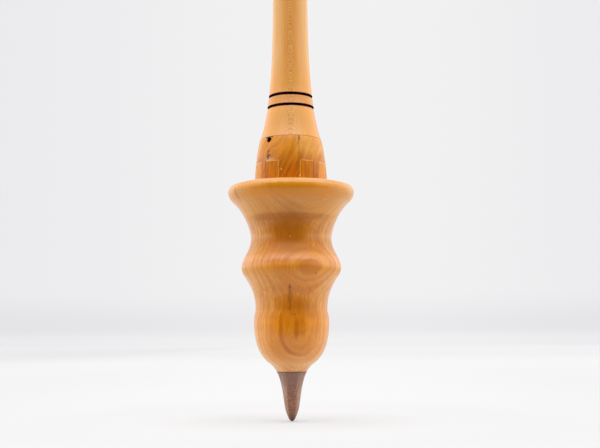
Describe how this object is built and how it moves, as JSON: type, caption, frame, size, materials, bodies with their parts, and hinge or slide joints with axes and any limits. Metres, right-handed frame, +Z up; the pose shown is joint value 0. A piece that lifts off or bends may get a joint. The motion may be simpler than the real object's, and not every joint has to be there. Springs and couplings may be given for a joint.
{
  "type": "supported spindle",
  "caption": "Hand-turned wooden supported spindle for spinning yarn: long tapered shaft, comb-jointed collar, flared and beaded whorl, pointed hardwood tip.",
  "frame": {"origin": "the very point of the hardwood tip, on which the spindle turns in its bowl", "axes": "+Z up the shaft along the turning axis, -Y towards the viewer of the picture, +X to the viewer's right; the comb joint's tongues run from front to back, along Y"},
  "size_m": [0.04, 0.04, 0.2899],
  "materials": {
    "shaft_wood": "light maple with a fine ripple, oiled and polished to a satin",
    "collar_wood": "darker orange fruitwood with pale glue lines, one filled knot and one open flaw, satin",
    "whorl_wood": "golden fruitwood with growth rings that contour the turned shape, satin",
    "tip_wood": "dark walnut with open pores, satin"
  },
  "bodies": {
    "root": {"shaft": "shaft_wood", "collar": "collar_wood", "whorl": "whorl_wood", "tip": "tip_wood"}
  },
  "joints": []
}
